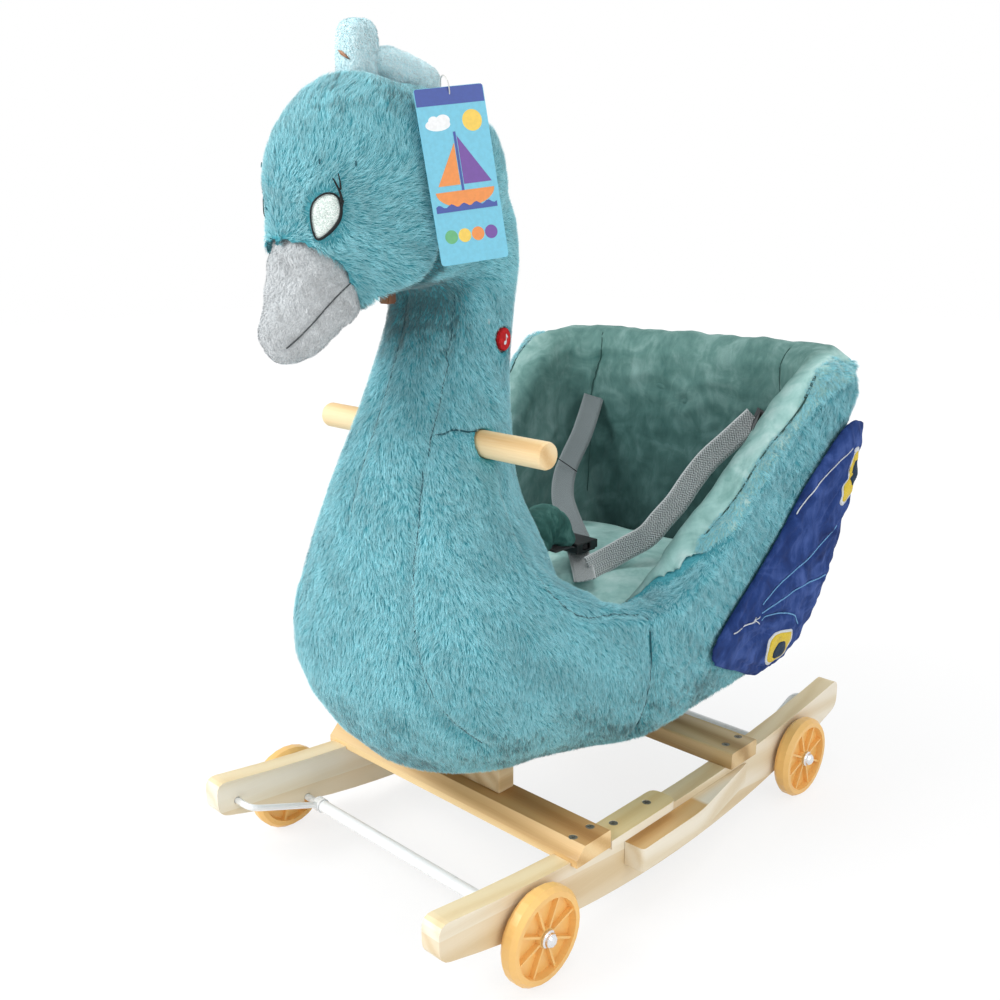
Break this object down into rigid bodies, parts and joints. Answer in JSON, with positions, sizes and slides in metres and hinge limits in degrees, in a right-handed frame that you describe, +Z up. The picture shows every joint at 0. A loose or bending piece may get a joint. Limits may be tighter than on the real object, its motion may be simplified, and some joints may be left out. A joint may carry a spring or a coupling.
{
  "type": "plush rocking toy with wheels",
  "caption": "Plush bird ride-on with a padded tub seat on a wooden rocker frame, with steel cranks that swing wheels down to roll or up to rock.",
  "frame": {"origin": "centre of the footprint on the floor, standing on its four wheels", "axes": "+Z up, -Y the way the bird looks, +X the rider's left hand side"},
  "size_m": [0.447, 0.6607, 0.7967],
  "materials": {
    "fur": "short teal plush fur over soft stuffing",
    "velvet": "grey-green short-pile velvet, padded",
    "beak_plush": "pale grey short-pile plush, stuffed",
    "crest_velvet": "pale blue short-pile velvet, stuffed",
    "wing_velvet": "deep blue padded velvet with applied ornament",
    "webbing": "grey herringbone webbing",
    "black_plastic": "moulded black nylon",
    "red_felt": "red felt over a plastic button",
    "module_plastic": "plain moulded plastic",
    "tag_card": "glossy printed card",
    "plywood": "bare plywood, hidden inside the toy",
    "pale_pine": "clear satin lacquer on pale pine",
    "brown_pine": "satin lacquer on warm brown pine",
    "white_steel": "white powder coat on steel rod and tube",
    "cap_steel": "bright plated push-on hub caps",
    "wheel_plastic": "amber moulded plastic, softly glossy"
  },
  "bodies": {
    "toy": {"body_plush": "fur", "head_plush": "fur", "beak": "beak_plush", "crest_front_lobe": "crest_velvet", "crest_rear_lobe": "crest_velvet", "left_wing": "wing_velvet", "right_wing": "wing_velvet", "seat_liner": "velvet", "seat_cushion": "velvet", "crotch_strap": "velvet", "left_strap": "webbing", "right_strap": "webbing", "buckle_plug": "black_plastic", "buckle_socket": "black_plastic", "sound_module": "module_plastic", "tag_loop": "module_plastic", "neck_board": "plywood", "seat_board": "plywood", "front_support_board": "plywood", "rear_support_board": "plywood", "handle_dowel": "pale_pine", "left_runner": "pale_pine", "right_runner": "pale_pine", "left_footrest": "pale_pine", "right_footrest": "pale_pine", "left_foot_plate": "pale_pine", "right_foot_plate": "pale_pine", "front_crossbar": "brown_pine", "rear_crossbar": "brown_pine"},
    "front_crank": {"front_axle": "white_steel", "front_axle_sleeve": "white_steel", "front_left_arm": "white_steel", "front_right_arm": "white_steel", "front_left_hub_cap": "cap_steel", "front_right_hub_cap": "cap_steel"},
    "rear_crank": {"rear_axle": "white_steel", "rear_axle_sleeve": "white_steel", "rear_left_arm": "white_steel", "rear_right_arm": "white_steel", "rear_left_hub_cap": "cap_steel", "rear_right_hub_cap": "cap_steel"},
    "front_left_wheel": {"front_left_wheel": "wheel_plastic"},
    "front_right_wheel": {"front_right_wheel": "wheel_plastic"},
    "rear_left_wheel": {"rear_left_wheel": "wheel_plastic"},
    "rear_right_wheel": {"rear_right_wheel": "wheel_plastic"},
    "button": {"sound_button": "red_felt"},
    "tag": {"hang_tag": "tag_card"}
  },
  "joints": [
    {"name": "front_crank_fold", "type": "hinge", "parent": "toy", "child": "front_crank", "pos_m": [0, -0.301, 0.076], "axis": [-1, 0, 0], "range_deg": [0, 327]},
    {"name": "rear_crank_fold", "type": "hinge", "parent": "toy", "child": "rear_crank", "pos_m": [0, 0.307, 0.076], "axis": [1, 0, 0], "range_deg": [0, 327]},
    {"name": "front_left_wheel_spin", "type": "hinge", "parent": "front_crank", "child": "front_left_wheel", "pos_m": [0.184, -0.217, 0.045], "axis": [1, 0, 0], "continuous": true},
    {"name": "front_right_wheel_spin", "type": "hinge", "parent": "front_crank", "child": "front_right_wheel", "pos_m": [-0.184, -0.217, 0.045], "axis": [1, 0, 0], "continuous": true},
    {"name": "rear_left_wheel_spin", "type": "hinge", "parent": "rear_crank", "child": "rear_left_wheel", "pos_m": [0.184, 0.223, 0.045], "axis": [1, 0, 0], "continuous": true},
    {"name": "rear_right_wheel_spin", "type": "hinge", "parent": "rear_crank", "child": "rear_right_wheel", "pos_m": [-0.184, 0.223, 0.045], "axis": [1, 0, 0], "continuous": true},
    {"name": "sound_button_press", "type": "slide", "parent": "toy", "child": "button", "axis": [-0.9659, -0.2588, 0], "range_m": [0, 0.0015], "stiffness_N_per_m": 400},
    {"name": "hang_tag_swing", "type": "hinge", "parent": "toy", "child": "tag", "pos_m": [0.089, -0.21882, 0.73112], "axis": [-0.3997, -0.9002, -0.1727], "range_deg": [0, 45]}
  ]
}
